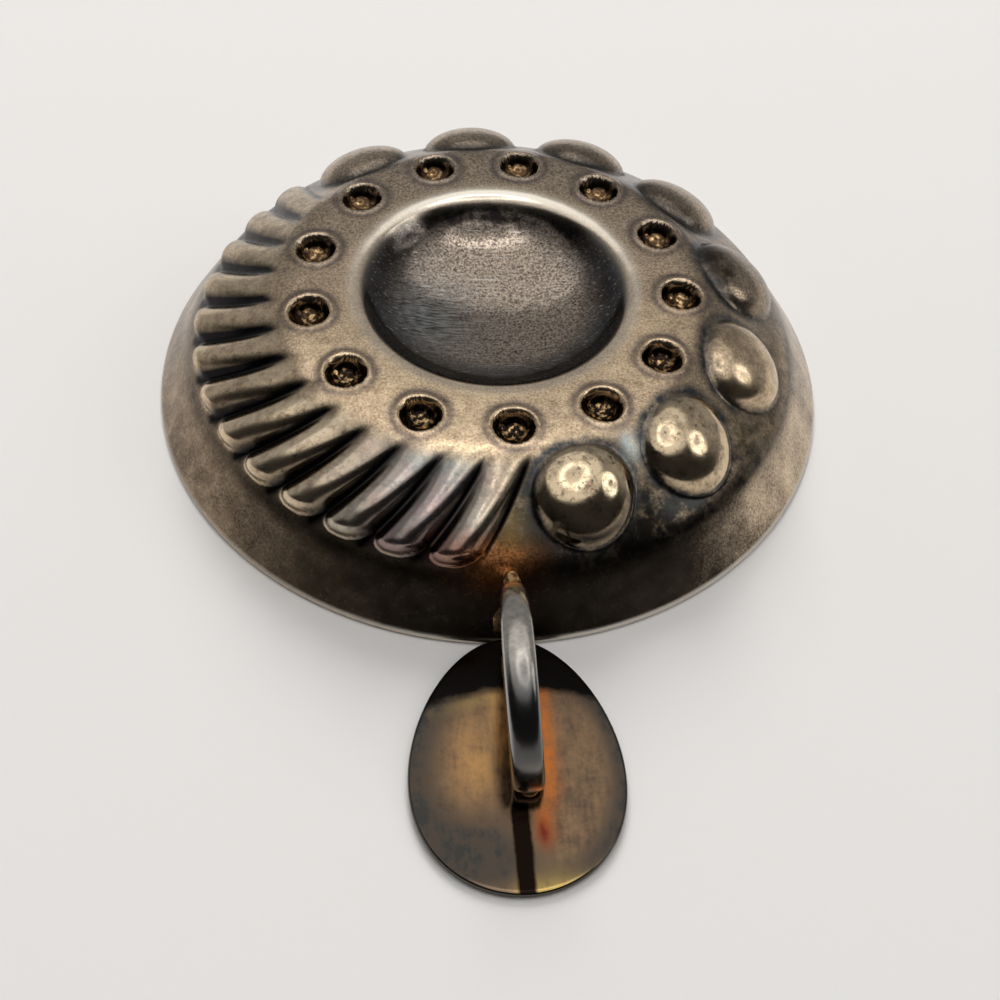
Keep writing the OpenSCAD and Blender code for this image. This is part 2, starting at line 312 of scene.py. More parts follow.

# %% [markdown]
# ## Where tarnish gathers, and where shade and highlights are painted
# Silver darkens where no cloth reaches, so each point keeps a few numbers from 0 to 1 that say what
# kind of place it is: in a hollow, in the dish, in a pit, on the wall, on the polished edge, or near
# the heat of the soldered joint. Some of these numbers also say where shade or a highlight is painted
# into the colour. The material mixes its colours by these numbers.

# %% Find the kinds of place
s_all = np.concatenate([out_s, np.full(len(edge), rim), in_s])[:, None]
r_all = np.interp(s_all, section_s, section[:, 0])
angle = column + lean(s_all)
skin_no = np.repeat([0, 1, 2], [len(outside), len(edge), len(inside)])[:, None]
is_out, is_edge = 1.0 * (skin_no == 0), 1.0 * (skin_no == 1)
boss_d, pit_d = boss_distance(s_all, r_all, angle), pit_distance(s_all, r_all, angle)
across, out = flute_place(s_all, angle)


def bearing(degrees, width):
    """A bell over the angle round the bowl, counted from the handle."""
    return bell(turn_from(angle, np.radians(degrees)), 0, np.radians(width))


def oval(s_middle, degrees, s_width, side_width):
    """A bell-shaped oval at a place along the section and round the bowl."""
    side = r_all * turn_from(angle, np.radians(degrees))
    return bell(np.hypot((s_all - s_middle) / s_width, side / side_width), 0, 1)


fluted = (smooth(0.0, 0.25, out) * (1 - smooth(1.12, 1.24, out))
          * (1 - smooth(1.0, 1.2, abs(across))))
# sulphide in each valley, and painted shade that widens it on the far left
valley = fluted * bell(abs(across), 1.0, 0.2 + 0.16 * bearing(-100, 50))
# painted shade on one flank of each flute
painted_flank_shade = fluted * smooth(0.15, 0.75, across)
on_boss = 1 - smooth(BOSS_R - 0.7, BOSS_R - 0.1, boss_d)
below_boss = s_all - section_at(BOSS_CIRCLE_R)
around_boss = bell(boss_d, BOSS_R + 0.35, 0.9) * (1 - 0.6 * smooth(0, BOSS_R, below_boss))
# painted shade on the lower edge of the boss nearest the handle
painted_boss_shade = (on_boss * bell(boss_d, 0.8 * BOSS_R, 0.15 * BOSS_R) * bearing(15, 14)
             * smooth(-0.1 * BOSS_R, 0.3 * BOSS_R, below_boss))
shoulder = (smooth(foot - 0.5, foot + 2.5, s_all)
            * (1 - smooth(corner + 0.5, corner + 1.5, s_all)))
low_down = 0.35 + 0.65 * smooth(foot + 2, corner - 3, s_all) + 0.4 * bearing(3, 8)
wall = smooth(corner - 0.5, corner + 1.5, s_all)
# a band just below the shoulder's corner, where shade is painted
under = bell(s_all, corner + 0.9, 1.2)
handle_side = 1 - smooth(*np.radians([24, 68]), abs(turn_from(angle, np.radians(-4))))
print(f"places on the bowl: {(fluted * is_out).mean():.0%} fluted, "
      f"{(on_boss * is_out).mean():.0%} bosses")

# %% [markdown]
# Each mark below is one kind of tarnish, stain or wear, or a place where shade or a highlight is
# painted. The dark ones gather in corners, the heat leaves its colours round the joint, and the bright
# ones lie where fingers and cloths pass, with painted highlights on the crests, the dish's lip, the rim
# and one glint.

# %% Mark the places and make the bowl's mesh
places = {
    # darker marks: sulphide round the bosses and the pits; sulphide and painted shade in the flutes'
    # valleys, with painted shade on their flanks, on a boss's lower edge and under the corner; darker
    # between the bosses and on the right; and painted shade on the far side
    "sulphide_and_painted_shade": np.clip(valley + 0.55 * painted_flank_shade + painted_boss_shade + 0.45 * under, 0, 1),
    "moat": 0.95 * around_boss * (1 - wall),
    # darker between the bosses, most of all low on the shoulder and near the handle
    "gap": shoulder * (1 - on_boss) * (1 - fluted) * (0.5 + 0.55 * bearing(22, 42)) * low_down,
    # darker on the right of the foot ring and on the bosses there
    "darker_right": (0.75 * bell(s_all, foot + 1.5, 2.6) * bearing(120, 60)
              + 0.45 * on_boss * bearing(98, 18)),
    "halo": 0.75 * bell(pit_d, PIT_R + 0.9, 0.5),
    # painted shade: darker towards the far side, and on the bosses on the right
    "painted_far_side": (np.clip(smooth(-18, 22, -r_all * np.cos(angle))
                     + 0.5 * shoulder * bearing(100, 16), 0, 1)
             * smooth(DISH_R, DISH_R + 3, r_all)),
    # heat: yellow over the joint, red on the nearest tips, copper at the joint itself
    "brassy": 0.55 * oval(corner - 5, 0, 3.5, 1.8),
    "scorched": 0.45 * fluted * bearing(-12, 10) * smooth(0.7, 1.0, out),
    "joint": oval(corner - 0.8, -3, 2.7, 4.4),
    # painted highlights: a glint between two bosses and the flutes' crests; wear: the flutes' satin,
    # blue cast and polish
    "glint": 0.8 * oval(foot + 3, 30, 1.6, 1.0),
    # painted highlight along the flutes' crests, strongest on the left
    "painted_crest_highlight": fluted * bell(across, -0.2, 0.35) * 0.8 * bearing(-48, 36),
    "satin": fluted,
    "steely": 0.8 * bearing(-18, 18) * fluted,
    "rubbed_and_edge_sheen": np.clip(on_boss * bearing(25, 42) + fluted * (0.3 + 0.55 * bearing(-30, 55)), 0, 1),
    # the dish: its polished lip with a painted highlight, strongest on the far side, its floor, its
    # steep edge, its far wall with painted shade, and the brushed patch
    "lip": bell(r_all, DISH_R + 0.7, 0.9) * (0.35 + 0.65 * bearing(178, 70)),
    "dish": 1 - smooth(DISH_R - 1.2, DISH_R + 0.1, r_all),
    "dish_edge": (smooth(10, 15.5, r_all + 3 * bearing(0, 70))
                  * (1 - smooth(DISH_R - 0.6, DISH_R + 0.3, r_all))
                  * (1 - 0.75 * bearing(178, 45))),
    # painted shade on the dish's far wall
    "dish_far_wall_shade": bearing(178, 75) * bell(r_all, 15.0, 1.5),
    "brushed": bell(np.hypot(r_all * np.sin(angle) + 9, r_all * np.cos(angle) - 1), 0, 6.5),
    # the pits, and the wall: all of it, its left side and its front
    "pit": 1 - smooth(PIT_R - 0.4, PIT_R + 0.05, pit_d),
    # the pits' floors: worn brass with painted glints
    "pit_floor": 1 - smooth(0.45 * PIT_R, 0.95 * PIT_R, pit_d),
    "sand": wall,
    "left_wall": wall * bearing(-72, 42),
    # the front of the wall, darkened by tarnish and by painted shade
    "front": handle_side * wall,
}
bowl_marks = {key: grid * is_out + 0 * angle for key, grid in places.items()}
# the rim's edge, worn bare, with a painted highlight that is strongest at the front right
rim_line = is_edge + is_out * smooth(rim - 0.35, rim - 0.15, s_all)
bowl_marks["bare"] = rim_line * (0.3 + 0.7 * bearing(25, 60))
bowl = make_piece("bowl_sheet", bowl_points, bowl_marks, "bowl")

# %% [markdown]
# ## The finger loop
# The loop is one strip with a crowned face, bent to a rounded D. Its narrow end meets the wall high
# up, it bows over and down to the thumb plate, runs back along the plate and turns up the wall again.
# A profile carried along that path gives the strip, and the profile narrows towards its end.

# %% Lay out the loop's path
STRIP_T, STRIP_W, STRIP_END_W, TAPER = 1.8, 3.6, 1.9, 13.0
LOOP_REACH, LOOP_TOP, JOINT_Z, LEAN = 65.2, 17.0, 7.7, np.radians(-5)
HEEL_R, CORNER_R, BED, LEG, TUCK = 2.6, 2.3, 0.35, 2.6, 0.5
PATH_STEP, PATH_SOFT = 0.25, 0.5
PLATE_NEAR, PLATE_REACH, PLATE_W, PLATE_T = 42.1, 76.3, 24.2, 0.9
PLATE_BALL, PLATE_LIFT, PLATE_EGG, PLATE_TURN = 160.0, 0.15, 0.17, np.radians(-0.6)
PLATE_MID, PLATE_HALF = (PLATE_NEAR + PLATE_REACH) / 2, (PLATE_REACH - PLATE_NEAR) / 2
PLATE_CROWN = PLATE_LIFT + PLATE_T + PLATE_BALL - np.sqrt(PLATE_BALL**2 - PLATE_HALF**2)

wall_slope = np.arctan2(SHOULDER_Z, RIM_R - SHOULDER_R)
wall_normal = np.array([np.sin(wall_slope), np.cos(wall_slope)])
wall_offset = wall_normal[0] * RIM_R
floor_z = PLATE_CROWN - BED
bend_r = LOOP_TOP - floor_z - HEEL_R
bend_mid = np.array([LOOP_REACH - bend_r, LOOP_TOP - bend_r])
heel_mid = np.array([LOOP_REACH - HEEL_R, floor_z + HEEL_R])
corner_z = floor_z + CORNER_R
corner_reach = (wall_offset - BED + CORNER_R - wall_normal[1] * corner_z) / wall_normal[0]
corner_mid = np.array([corner_reach, corner_z])
joint = np.array([(wall_offset - wall_normal[1] * JOINT_Z) / wall_normal[0], JOINT_Z])
to_bend = bend_mid - joint
upper_slope = np.arctan2(to_bend[1], to_bend[0]) + np.arcsin(bend_r / np.hypot(*to_bend))


def bend(mid, radius, start, end, count):
    """Points on a circle of that radius about mid, from one angle to another, in degrees."""
    a = np.radians(np.linspace(start, end, count))
    return mid + radius * np.stack([np.cos(a), np.sin(a)], axis=-1)


lie = STRIP_T / 2
upper_end = joint - lie * np.array([-np.sin(upper_slope), np.cos(upper_slope)])
up_wall = np.array([-wall_normal[1], wall_normal[0]])
wall_top = corner_mid - (CORNER_R - lie) * wall_normal + LEG * up_wall
loop_corners = np.vstack([
    upper_end - TUCK * np.array([np.cos(upper_slope), np.sin(upper_slope)]),
    bend(bend_mid, bend_r - lie, 90 + np.degrees(upper_slope), 0, 60),
    bend(heel_mid, HEEL_R - lie, 0, -90, 16),
    bend(corner_mid, CORNER_R - lie, -90, -90 - np.degrees(wall_slope), 16),
    wall_top,
])
loop_path = soften(walk(loop_corners, PATH_STEP), PATH_STEP, PATH_SOFT)
print(f"loop: {PATH_STEP * len(loop_path):.0f} mm of strip")

# %% [markdown]
# ## The strip of the loop
# The strip is drawn flat and then filed, so its outer face is crowned and its inner face flatter. It
# is narrow and thin where it meets the wall, and full from the bow to the plate. The whole loop leans
# to one side, so its points are worked out in an upright plane that is then tipped over.

# %% Carry the strip's profile along the path
RING, CAP_ROWS, THIN_ROWS, THIN = 40, 3, 30, 0.75


def in_loop_plane(reach, height, side):
    """Points given by reach, height and sideways place in the loop's plane, which leans over."""
    up = height - JOINT_Z
    x = side * np.cos(LEAN) + up * np.sin(LEAN)
    return np.stack([x, -reach, JOINT_Z + up * np.cos(LEAN) - side * np.sin(LEAN)], axis=-1)


def strip_profile(turn):
    """Place across the width and through the thickness, each from -1 to 1: a rounded bar with a
    crowned outer face, |cos|^0.85 across and |sin|^0.95 outwards or |sin|^0.6 inwards."""
    c, s = np.cos(turn), np.sin(turn)
    return np.sign(c) * abs(c) ** 0.85, np.where(s > 0, abs(s) ** 0.95, -abs(s) ** 0.6)


tangent = np.gradient(loop_path, axis=0)
tangent /= np.hypot(*tangent.T)[:, None]
outward = np.stack([-tangent[:, 1], tangent[:, 0]], axis=-1)
reach, height = loop_path.T
half_w = np.interp(reach, [SHOULDER_R, SHOULDER_R + TAPER], [STRIP_END_W / 2, STRIP_W / 2])
row = np.arange(len(reach))
end_cap = np.sqrt(np.clip(row / CAP_ROWS, 0, 1))
half_t = STRIP_T / 2 * (THIN + (1 - THIN) * smooth(0, THIN_ROWS, row))
wide, thick = strip_profile(np.linspace(2 * np.pi, 0, RING, endpoint=False)[None, :])
side = half_w[:, None] * end_cap[:, None] * wide
rise = half_t[:, None] * end_cap[:, None] * thick
strip_points = in_loop_plane(reach[:, None] + outward[:, :1] * rise,
                             height[:, None] + outward[:, 1:] * rise, side)
strip_marks = {
    # a painted sheen along both edges, stronger on one
    "rubbed_and_edge_sheen": 0.8 * smooth(0.7, 0.97, -wide) + 0.3 * smooth(0.8, 0.97, wide) + 0 * side,
    "joint": (bell(reach, SHOULDER_R, 2.0) * (height > 5))[:, None] + 0 * side,
    "shade": (smooth(54, 60, reach) * smooth(4, 9, height))[:, None] + 0 * side,
}
strip = make_piece("loop_strip", strip_points, strip_marks, "ring_handle")

# %% [markdown]
# ## The thumb plate
# The plate is an egg-shaped sheet, domed a little so that it is stiff and pleasant under the thumb.
# It is a disc of rows from the middle to the edge and back underneath, with a rounded edge between.

# %% Work out the thumb plate
PLATE_AROUND, PLATE_ROWS, PLATE_EDGE = 220, 46, 0.35
turn = np.linspace(0, 2 * np.pi, PLATE_AROUND, endpoint=False)[None, :]


def plate_skin(out, drop):
    """The egg outline, shrunk to a share out of its size, laid on a dome and lowered by drop."""
    x = PLATE_W / 2 * np.sin(turn) * (1 - PLATE_EGG * np.cos(turn)) * out
    y = PLATE_HALF * np.cos(turn) * out
    z = PLATE_CROWN - PLATE_BALL + np.sqrt(PLATE_BALL**2 - x**2 - y**2) - drop
    y = y - PLATE_MID
    c, s = np.cos(PLATE_TURN), np.sin(PLATE_TURN)
    return np.stack([c * x - s * y, s * x + c * y, z], axis=-1)


share = np.linspace(0, 1, PLATE_ROWS)[:, None] ** 0.9
bulge = np.linspace(0, np.pi, EDGE_ROWS)[1:-1, None]
edge_in = PLATE_EDGE / PLATE_HALF
out_share = np.concatenate([
    share * (1 - edge_in), 1 - edge_in + edge_in * np.sin(bulge), share[::-1] * (1 - edge_in)])
drop = np.concatenate([0 * share, PLATE_T / 2 * (1 - np.cos(bulge)), 0 * share + PLATE_T])
plate_points = plate_skin(out_share, drop)[:, ::-1]
print("plate skins:", plate_points.shape[:2])

# %% [markdown]
# The flame coloured the plate as it was soldered. Each mark is one colour's place, in millimetres
# from the bowl's middle and from the strip: gold and copper beside the strip, a red spot, straw at the
# tip and slate round the edge. Two marks are painted reflections: the bowl's dark wall next to the
# bowl, and the loop as a dark stripe past it.

# %% Mark the plate's stains and make its mesh
plate_x, plate_y = plate_points[..., 0], -plate_points[..., 1]
near_strip = plate_x - 0.02 * (plate_y - PLATE_NEAR)
# the edge of the painted reflection of the bowl, curved across the plate
reflection_edge = plate_y - 0.02 * plate_x**2
at_tip = bell(plate_y, PLATE_REACH, 2.6)
plate_marks = {
    # painted reflection of the bowl's dark wall, next to the bowl
    "black": 1 - smooth(48.2, 51.6, reflection_edge),
    "gold": np.maximum(
        bell(np.hypot((near_strip + 5.6) / 2.8, (plate_y - 60) / 5.5), 0, 1),
        bell(near_strip, -2.6, 1.3) * smooth(49, 51, plate_y) * (1 - smooth(58, 64, plate_y))),
    "copper": (0.95 * bell(near_strip, 2.5 - 1.1 * smooth(63, 68, plate_y), 1.1)
               * smooth(48, 51, plate_y) * (1 - smooth(68, 72, plate_y))),
    "red": bell(np.hypot((near_strip - 1.2) / 0.8, (plate_y - 69) / 1.8), 0, 1),
    "straw": np.maximum(
        at_tip * smooth(-4, 0, near_strip) * (1 - smooth(8, 10, plate_x)),
        0.35 * bell(reflection_edge, 51.0, 0.8) * (1 - smooth(-3, -1, plate_x))),
    # painted reflection of the loop: a dark stripe past its heel
    "stripe": ((1 - smooth(0.6, 1.4, abs(near_strip + 1.2)))
               * smooth(LOOP_REACH - 0.5, LOOP_REACH + 0.5, plate_y)),
    "slate": np.clip(
        smooth(0.55 + 0.2 * smooth(-2, 4, near_strip), 0.97, out_share) - at_tip
        + 0.9 * bell(np.hypot(near_strip + 5.5, plate_y - 70.5), 0, 5), 0, 1),
    "bare": (np.sin(np.clip(drop / PLATE_T, 0, 1) * np.pi) > 0.3) + 0 * turn,
}
plate = make_piece("thumb_plate_sheet", plate_points, plate_marks, "thumb_plate")

# %% [markdown]
# ## The solder seams
# Hard solder floods the joint under the strip and freezes in a low, lumpy puddle that shows along
# both sides. A half-round profile follows the strip, a little wider than it, and its size wavers.

# %% Work out the solder seams
SEAM_AROUND, SEAM_END, LUMP = 48, 0.14, 0.1
PLATE_SEAM_ROWS, PLATE_SEAM_SIDE, PLATE_SEAM_H = 90, 0.15, 0.3
WALL_SEAM_ROWS, WALL_SEAM_H = 70, 0.5
WALL_SEAM_LOW, WALL_SEAM_OVER = 0.9, 0.7


def seam(name, path, lift, width, height, replaced):
    """A half-round profile along a path, with a width and a height that waver by a sum of sines."""
    along = np.linspace(0, 1, len(path))
    forward = np.gradient(path, axis=0)
    forward /= np.linalg.norm(forward, axis=1)[:, None]
    across = np.cross(forward, lift)
    around = np.linspace(0, 2 * np.pi, SEAM_AROUND, endpoint=False)
    lumps = 1 + LUMP * sum(np.sin(2 * np.pi * n * along[:, None] + n * n + 2 * np.cos(around))
                           for n in (2, 5))
    ends = np.sqrt(np.clip(np.minimum(along, 1 - along) / SEAM_END, 0, 1))
    sideways = (width * ends)[:, None] * np.cos(around) * (0.85 + 0.15 * lumps)
    upwards = (height * ends)[:, None] * np.sin(around) * lumps
    points = (path[:, None] + sideways[..., None] * across[:, None]
              + upwards[..., None] * lift[:, None])
    return make_piece(name, points, {}, replaced)


foot_reach = np.linspace(corner_mid[0] - 0.5, LOOP_REACH - 0.5, PLATE_SEAM_ROWS)
level = np.ones(PLATE_SEAM_ROWS)
foot_path = in_loop_plane(foot_reach, PLATE_CROWN * level, 0 * level)
from_mid = np.hypot(foot_path[:, 0], foot_path[:, 1] + PLATE_MID)
foot_path[:, 2] = PLATE_CROWN - PLATE_BALL + np.sqrt(PLATE_BALL**2 - from_mid**2)
up = np.tile([0.0, 0.0, 1.0], (PLATE_SEAM_ROWS, 1))
foot_w = (STRIP_W / 2 + PLATE_SEAM_SIDE) * level
plate_seam = seam("plate_seam", foot_path, up, foot_w, PLATE_SEAM_H * level, "plate_solder")

climb = np.linspace(WALL_SEAM_LOW, JOINT_Z + WALL_SEAM_OVER, WALL_SEAM_ROWS)
low_part = 1 - smooth(2.5, 5.5, climb)
wall_reach = (wall_offset - wall_normal[1] * climb) / wall_normal[0]
wall_path = in_loop_plane(wall_reach, climb, -0.7 * low_part)
wall_lift = np.tile([0.0, -wall_normal[0], wall_normal[1]], (WALL_SEAM_ROWS, 1))
wall_w = 0.8 + 1.3 * low_part + 0.25 * smooth(6.6, 7.2, climb)
wall_h = np.full(WALL_SEAM_ROWS, WALL_SEAM_H)
wall_seam = seam("wall_seam", wall_path, wall_lift, wall_w, wall_h, "wall_solder")

# %% [markdown]
# ## Finishes
# Colours are given as sRGB hex values, as a paint chart would, and one function turns them to the
# linear numbers that the shader works with. Pattern sizes are in millimetres on the real object. A
# finish is a tree of nodes, and one short function adds a node, so each line of a tree says what the
# node is and what goes into it.

# %% Helpers for materials


def linear(hex_colour):
    """sRGB hex to linear RGBA: c / 12.92 below 0.04045, and ((c + 0.055) / 1.055)^2.4 above."""
    c = np.array([int(hex_colour[i:i + 2], 16) for i in (1, 3, 5)]) / 255
    return (*np.where(c <= 0.04045, c / 12.92, ((c + 0.055) / 1.055) ** 2.4), 1.0)


def add(tree, kind, inputs=None, **settings):
    """Adds one node. settings are its own properties, and inputs maps a socket to a value or a link."""
    node = tree.nodes.new("ShaderNode" + kind)
    for key, value in settings.items():
        setattr(node, key, value)
    for key, value in (inputs or {}).items():
        if isinstance(value, bpy.types.NodeSocket):
            tree.links.new(value, node.inputs[key])
        else:
            node.inputs[key].default_value = value
    return node


def new_material(name, piece):
    """An empty material, put on a piece. The tree that comes back is filled in below."""
    material = bpy.data.materials.new(name)
    material.use_nodes = True
    material.node_tree.nodes.clear()
    piece.data.materials.clear()
    piece.data.materials.append(material)
    return material.node_tree


print("middle grey, #808080, in linear light:", round(float(linear("#808080")[0]), 3))

# %% [markdown]
# ### Tarnished silver plate
# Silver plate over brass is bright where it is handled and brown to black where sulphur has settled.
# The tarnish is a sandy speckle with larger, greyer patches, and the dish keeps the lines of its
# polishing. Each of these is a noise with a size in millimetres on the cup. A range then says which
# part of the noise counts as none and which as full, because a noise keeps mostly to its middle.

# %% Make the bowl's finish: noises
tree = new_material("tarnished_silver_plate", bowl)
place = add(tree, "TexCoord").outputs["Object"]
stretch = add(tree, "Mapping", {"Vector": place, "Scale": (0.12, 1, 1)}).outputs[0]
turned = add(tree, "Mapping", {
    "Vector": place, "Rotation": (0, 0, 0.5), "Scale": (0.03, 1, 1)}).outputs[0]
noise = {}
for key, vector, size, detail, roughness in (
        ("grain", place, 0.32, 4, 0.75),   # grains of the tarnish
        ("patch", place, 7.0, 5, 0.65),    # patches as wide as a fingertip
        ("brush", stretch, 0.3, 2, 0.5),   # polishing lines in the dish
        ("scratch", turned, 0.3, 2, 0.5),  # long scratches across the dish
        # worn brass and painted glints in the pits
        ("fleck", place, 0.7, 2, 0.5),     # worn brass in the pits
        ("blotch", place, 1.6, 5, 0.7),    # thin film on the polished places
        ("spot", place, 0.9, 3, 0.7),      # dark spots on the polished places
        ("uneven", place, 2.2, 6, 0.75),   # ragged edges of the stains
        ("dent", place, 3.5, 1, 0.5)):     # hammer marks
    noise[key] = add(tree, "TexNoise", {
        "Vector": vector, "Scale": 1 / (size * MM),
        "Detail": detail, "Roughness": roughness}).outputs["Fac"]
noise["coarse"] = add(tree, "Math", {0: noise["grain"], 1: noise["patch"]}, operation="ADD").outputs[0]
mixed_by = {}
for key, none, full, least, most in (
        ("grain", 0.36, 0.6, 0, 1), ("patch", 0.36, 0.64, 0, 1), ("coarse", 0.72, 1.2, 0, 1),
        ("brush", 0.35, 0.65, 0, 1), ("scratch", 0.6, 0.72, 0, 0.5), ("fleck", 0.5, 0.72, 0, 1),
        ("blotch", 0.45, 0.7, 0, 1), ("spot", 0.57, 0.68, 0, 0.75),
        ("uneven", 0.38, 0.62, 0.7, 1.2)):
    mixed_by[key] = add(tree, "MapRange", {
        "Value": noise[key], "From Min": none, "From Max": full,
        "To Min": least, "To Max": most}).outputs[0]
print("bowl noises:", ", ".join(noise))

# %% [markdown]
# Tarnish is never one flat colour, so each tone is a mix of two, by one of the noises. Some of the
# tones are then mixed once more, with each other or with a stain.

# %% Make the bowl's finish: tones
mark = {key: add(tree, "Attribute", attribute_name=key).outputs["Fac"] for key in bowl_marks}
tone = {}
for key, amount, dark, light in (
        ("tan", mixed_by["grain"], "#cbaa85", "#ffe6c0"),        # thin, warm film on the foot ring
        ("grey", mixed_by["grain"], "#957f68", "#e8cdab"),       # its greyer patches
        # painted shade: a duller tan on the far side
        ("far_side_shaded_tan", mixed_by["grain"], "#75675a", "#d4c0a8"),     # the far side
        ("brown", mixed_by["grain"], "#352b25", "#c2b1a0"),      # the dish
        ("flame", mixed_by["grain"], "#552b1c", "#c5814a"),      # copper round the joint
        ("sandy", mixed_by["coarse"], "#57493d", "#e0cbae"),     # the wall
        ("scuffed", mixed_by["coarse"], "#473d35", "#9a866f"),   # the left of the wall
        ("blue", mixed_by["brush"], "#4a4a4b", "#a3a3a0"),       # the brushed patch in the dish
        ("shaded", mixed_by["patch"], "#262322", "#4a4b4d"),     # the dish's steep edge
        ("tint", mixed_by["patch"], "#6f8389", "#8f7d82"),       # steel blue to violet on the flutes
        ("slate", mixed_by["patch"], "#29231c", "#3d3d3b"),      # between the bosses
        # tarnish and painted shade on the wall under the handle
        ("front_wall_tone", mixed_by["patch"], "#332d27", "#4d453b"),       # the wall under the handle
        ("polished", mixed_by["blotch"], "#d8c3a2", "#7c6b58"),  # bosses and flutes
        # painted highlight on the flutes' crests
        ("crest_highlight_tan", mixed_by["blotch"], "#ecd8ba", "#a89078"),     # the flutes' crests
        # the pits' floors, painted lighter on the far side
        ("hollow", mark["painted_far_side"], "#1c1612", "#5e4934")):         # the pits' floors
    tone[key] = add(tree, "Mix", {0: amount, 6: linear(dark), 7: linear(light)},
                    data_type="RGBA").outputs[2]
for key, amount, under, over in (
        ("mottled", mixed_by["patch"], tone["tan"], tone["grey"]),
        ("steel", mark["brushed"], tone["brown"], tone["blue"]),
        ("spotted", mixed_by["spot"], tone["polished"], linear("#2c241c")),
        ("gold", mixed_by["fleck"], tone["hollow"], linear("#dcb683"))):
    tone[key] = add(tree, "Mix", {0: amount, 6: under, 7: over}, data_type="RGBA").outputs[2]
print("bowl tones:", ", ".join(tone))

# %% [markdown]
# The tones are laid over each other in the order in which they came: the film that covers everything,
# then the dish and the wall, the polish of fingers, the sulphide that settled round it, the flame's
# stains, and last the pits and the bare edge. Painted shade and painted highlights lie among them. An
# uneven noise frays the stains, as real ones fray, and some of the painted shade and highlights too.

# %% Make the bowl's finish: layers
for key in ("gap", "darker_right", "moat", "halo", "joint", "scorched", "brassy", "glint",
            "dish_far_wall_shade", "left_wall"):
    mark[key] = add(tree, "Math", {0: mark[key], 1: mixed_by["uneven"]},
                    operation="MULTIPLY", use_clamp=True).outputs[0]
stain = add(tree, "Math", {0: mixed_by["blotch"], 1: 0.4}, operation="MULTIPLY").outputs[0]
scratch = add(tree, "Math", {0: mixed_by["scratch"], 1: mark["dish"]}, operation="MULTIPLY").outputs[0]
# the front of the wall: tarnish and painted shade, broken up by the coarse noise
front_wall_dark = add(tree, "Math", {0: mixed_by["coarse"], 1: -0.25, 2: mark["front"]},
              operation="MULTIPLY_ADD").outputs[0]
front_wall_dark = add(tree, "MapRange", {"Value": front_wall_dark, "From Min": 0.0, "From Max": 0.65}).outputs[0]
colour = tone["mottled"]
for amount, layer in (
        # painted shade on the far side, then stains
        (mark["painted_far_side"], tone["far_side_shaded_tan"]), (stain, linear("#5f4e3e")),
        (mark["dish"], tone["steel"]), (mark["dish_edge"], tone["shaded"]),
        # scratches in the dish, and painted shade on its far wall
        (scratch, linear("#d5cdc2")), (mark["dish_far_wall_shade"], linear("#1d1a19")),
        # a painted highlight on the dish's lip, then the wall's sand
        (mark["lip"], linear("#fff6e6")), (mark["sand"], tone["sandy"]),
        # wear on the bosses and flutes, and a painted highlight on the flutes' crests
        (mark["rubbed_and_edge_sheen"], tone["spotted"]), (mark["painted_crest_highlight"], tone["crest_highlight_tan"]),
        (mark["steely"], tone["tint"]), (mark["darker_right"], linear("#3c332b")),
        (mark["gap"], tone["slate"]), (mark["moat"], linear("#3b3d3f")),
        # a painted glint between two bosses, and a yellow heat stain over the joint
        (mark["glint"], linear("#c3d0d2")), (mark["brassy"], linear("#8d7748")),
        (mark["scorched"], linear("#8c4c36")), (mark["halo"], linear("#665a58")),
        # tarnish and painted shade on the front of the wall, then the left of the wall
        (front_wall_dark, tone["front_wall_tone"]), (mark["left_wall"], tone["scuffed"]),
        # sulphide in the valleys, with painted shade on the flutes' flanks, a boss's edge and under the
        # corner
        (mark["sulphide_and_painted_shade"], linear("#1d1b1c")), (mark["joint"], tone["flame"]),
        # dark pits, and their floors with worn brass and painted glints
        (mark["pit"], linear("#1a1410")), (mark["pit_floor"], tone["gold"]),
        # the rim worn bare, lighter at the front right as a painted highlight
        (mark["bare"], linear("#d2ccc2"))):
    colour = add(tree, "Mix", {0: amount, 6: colour, 7: layer}, data_type="RGBA").outputs[2]
print("bowl colours:", len(tree.nodes), "nodes")

# %% [markdown]
# Polish shows as gloss. Fingers polish the part of the pattern that is nearest the handle, and the
# dish, its lip, the pits and the rim are bright too, so the roughness is lower there. A film dulls
# the polish a little, and the flutes are satin. Hammer marks and grains tilt the surface slightly.

# %% Make the bowl's finish: gloss and grain
DULL, BRIGHT = 0.24, 0.09
polish = add(tree, "Math", {0: mixed_by["blotch"], 1: -0.5, 2: 1.0}, operation="MULTIPLY_ADD").outputs[0]
for key, operation in (("rubbed_and_edge_sheen", "MULTIPLY"), ("pit", "MAXIMUM"), ("bare", "MAXIMUM")):
    polish = add(tree, "Math", {0: polish, 1: mark[key]}, operation=operation).outputs[0]
for key, weight in (("dish", 0.75), ("lip", 0.8)):
    polish = add(tree, "Math", {0: mark[key], 1: weight, 2: polish}, operation="MULTIPLY_ADD").outputs[0]
rough = add(tree, "MapRange", {"Value": polish, "To Min": DULL, "To Max": BRIGHT}).outputs[0]
for dulling, weight in ((mixed_by["blotch"], 0.06), (mark["satin"], 0.07)):
    rough = add(tree, "Math", {0: dulling, 1: weight, 2: rough}, operation="MULTIPLY_ADD").outputs[0]
bump = add(tree, "Bump", {"Height": noise["dent"], "Strength": 0.5, "Distance": 0.1 * MM}).outputs[0]
bump = add(tree, "Bump", {
    "Height": noise["grain"], "Strength": 0.12, "Distance": 0.05 * MM, "Normal": bump}).outputs[0]
surface = add(tree, "BsdfPrincipled", {
    "Base Color": colour, "Metallic": 1.0, "Roughness": rough, "Normal": bump})
add(tree, "OutputMaterial", {"Surface": surface.outputs[0]})
print("bowl finish:", len(tree.nodes), "nodes")

